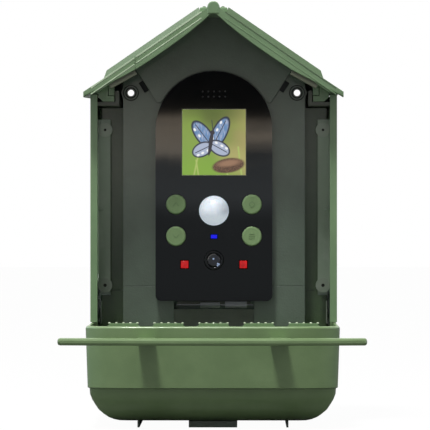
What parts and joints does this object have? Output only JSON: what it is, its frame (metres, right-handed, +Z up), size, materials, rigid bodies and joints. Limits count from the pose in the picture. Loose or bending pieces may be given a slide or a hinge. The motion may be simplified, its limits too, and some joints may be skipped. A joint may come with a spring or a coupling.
{
  "type": "smart bird feeder",
  "caption": "House-shaped plastic seed feeder with a gable roof, a camera unit with screen and buttons, a pull-out tray with a comb liner and a bowed perch.",
  "frame": {"origin": "centre of the whole part's footprint, at the base's underside", "axes": "+Z up, front (camera, tray and perch) towards -Y, +X to the right of someone who faces the front's back"},
  "size_m": [0.1776, 0.182, 0.2518],
  "materials": {
    "house_green": "satin moulded plastic",
    "dark_green": "fine textured moulded plastic",
    "liner_green": "satin moulded plastic",
    "button_green": "satin",
    "clear_plastic": "clear polycarbonate, smoke tint",
    "gloss_black": "polished",
    "black_plastic": "satin",
    "black_rubber": "matte",
    "grey_rubber": "matte",
    "screen": "lit colour display",
    "circuit_green": "solder mask",
    "white_dome": "milky, faceted",
    "lens_glass": "coated glass",
    "infra_red": "lit red",
    "status_blue": "lit blue",
    "steel": "plain",
    "brass": "turned",
    "cell_wrap": "shrink wrap"
  },
  "bodies": {
    "housing": {"base": "dark_green", "battery_cell_left": "cell_wrap", "battery_cell_right": "cell_wrap", "battery_holder": "black_plastic", "camera_box": "black_plastic", "camera_screw_1": "steel", "camera_screw_2": "steel", "camera_screw_3": "steel", "camera_screw_4": "steel", "case_screw_1": "steel", "case_screw_2": "steel", "case_screw_3": "steel", "case_screw_4": "steel", "face_gasket": "black_rubber", "faceplate": "gloss_black", "front_panel": "dark_green", "gable_cover": "dark_green", "hopper_floor": "dark_green", "ir_light_left": "infra_red", "ir_light_right": "infra_red", "lcd_panel": "steel", "lcd_window": "screen", "lens_barrel": "black_plastic", "lens_glass": "lens_glass", "lower_front": "dark_green", "main_board": "circuit_green", "pir_lens": "white_dome", "pir_sensor": "steel", "rear_wall": "dark_green", "side_wall_left": "house_green", "side_wall_right": "house_green", "speaker": "black_plastic", "status_light": "status_blue", "switch_down": "black_plastic", "switch_menu": "black_plastic", "switch_ok": "black_plastic", "switch_up": "black_plastic", "tripod_insert": "brass", "window_left": "clear_plastic", "window_right": "clear_plastic", "window_screw_1": "steel", "window_screw_2": "steel", "window_screw_3": "steel", "window_screw_4": "steel"},
    "roof_body": {"roof": "house_green"},
    "tray_body": {"tray": "house_green", "tray_liner": "liner_green", "perch": "house_green", "perch_screw_left": "steel", "perch_screw_right": "steel"},
    "up_key": {"button_up": "button_green"},
    "ok_key": {"button_ok": "button_green"},
    "down_key": {"button_down": "button_green"},
    "menu_key": {"button_menu": "button_green"},
    "usb_flap": {"usb_cover": "grey_rubber"},
    "card_flap": {"card_cover": "grey_rubber"}
  },
  "joints": [
    {"name": "roof_slide", "type": "slide", "parent": "housing", "child": "roof_body", "axis": [0, -1, 0], "range_m": [0, 0.07]},
    {"name": "tray_slide", "type": "slide", "parent": "housing", "child": "tray_body", "axis": [0, -1, 0], "range_m": [0, 0.06]},
    {"name": "up_press", "type": "slide", "parent": "housing", "child": "up_key", "axis": [0, 1, 0], "range_m": [0, 0.0008], "stiffness_N_per_m": 200},
    {"name": "ok_press", "type": "slide", "parent": "housing", "child": "ok_key", "axis": [0, 1, 0], "range_m": [0, 0.0008], "stiffness_N_per_m": 200},
    {"name": "down_press", "type": "slide", "parent": "housing", "child": "down_key", "axis": [0, 1, 0], "range_m": [0, 0.0008], "stiffness_N_per_m": 200},
    {"name": "menu_press", "type": "slide", "parent": "housing", "child": "menu_key", "axis": [0, 1, 0], "range_m": [0, 0.0008], "stiffness_N_per_m": 200},
    {"name": "usb_hinge", "type": "hinge", "parent": "housing", "child": "usb_flap", "pos_m": [-0.00245, 0.035, 0.0694], "axis": [1, 0, 0], "range_deg": [0, 75]},
    {"name": "card_hinge", "type": "hinge", "parent": "housing", "child": "card_flap", "pos_m": [0.01335, 0.035, 0.0694], "axis": [1, 0, 0], "range_deg": [0, 75]}
  ]
}
